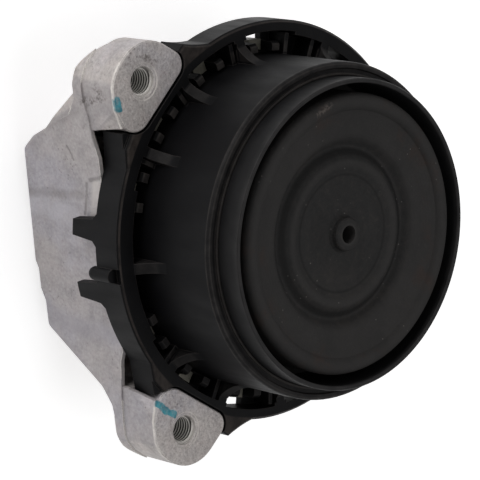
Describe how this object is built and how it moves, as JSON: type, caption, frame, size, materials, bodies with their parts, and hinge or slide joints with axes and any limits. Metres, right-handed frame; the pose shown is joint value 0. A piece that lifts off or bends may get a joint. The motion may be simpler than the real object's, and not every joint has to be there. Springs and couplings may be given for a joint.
{
  "type": "hydraulic engine mount",
  "caption": "Hydraulic engine mount: die-cast bracket with two threaded lugs, moulded cup with a castellated flange ring, and a round rubber bellows in the cup's mouth.",
  "frame": {"origin": "centre of the core's engine pad, on the mount's axis, where the core's thread opens", "axes": "+Z along the mount's axis, from the engine pad to the cup's mouth; +X along the line through the two lug threads; -Y from the axis towards the lugs and the flat wall"},
  "size_m": [0.1494, 0.1428, 0.097],
  "materials": {
    "cast_aluminium": "as-cast, slightly rough",
    "cup_plastic": "glass-filled moulding, matt",
    "lip_plastic": "matt",
    "bellows_rubber": "matt, dusty",
    "insert_steel": "plain",
    "track_plastic": "matt",
    "membrane_rubber": "matt",
    "spring_rubber": "matt",
    "core_steel": "turned"
  },
  "bodies": {
    "root": {"housing_bracket": "cast_aluminium", "cup_housing": "cup_plastic", "bellows_retainer": "lip_plastic", "bellows": "bellows_rubber", "bellows_bead_insert": "insert_steel", "track_cover": "track_plastic", "track_body": "track_plastic", "decoupler_membrane": "membrane_rubber", "main_spring": "spring_rubber", "spring_outer_ring": "insert_steel", "spring_core": "core_steel", "rebound_buffer": "spring_rubber"}
  },
  "joints": []
}
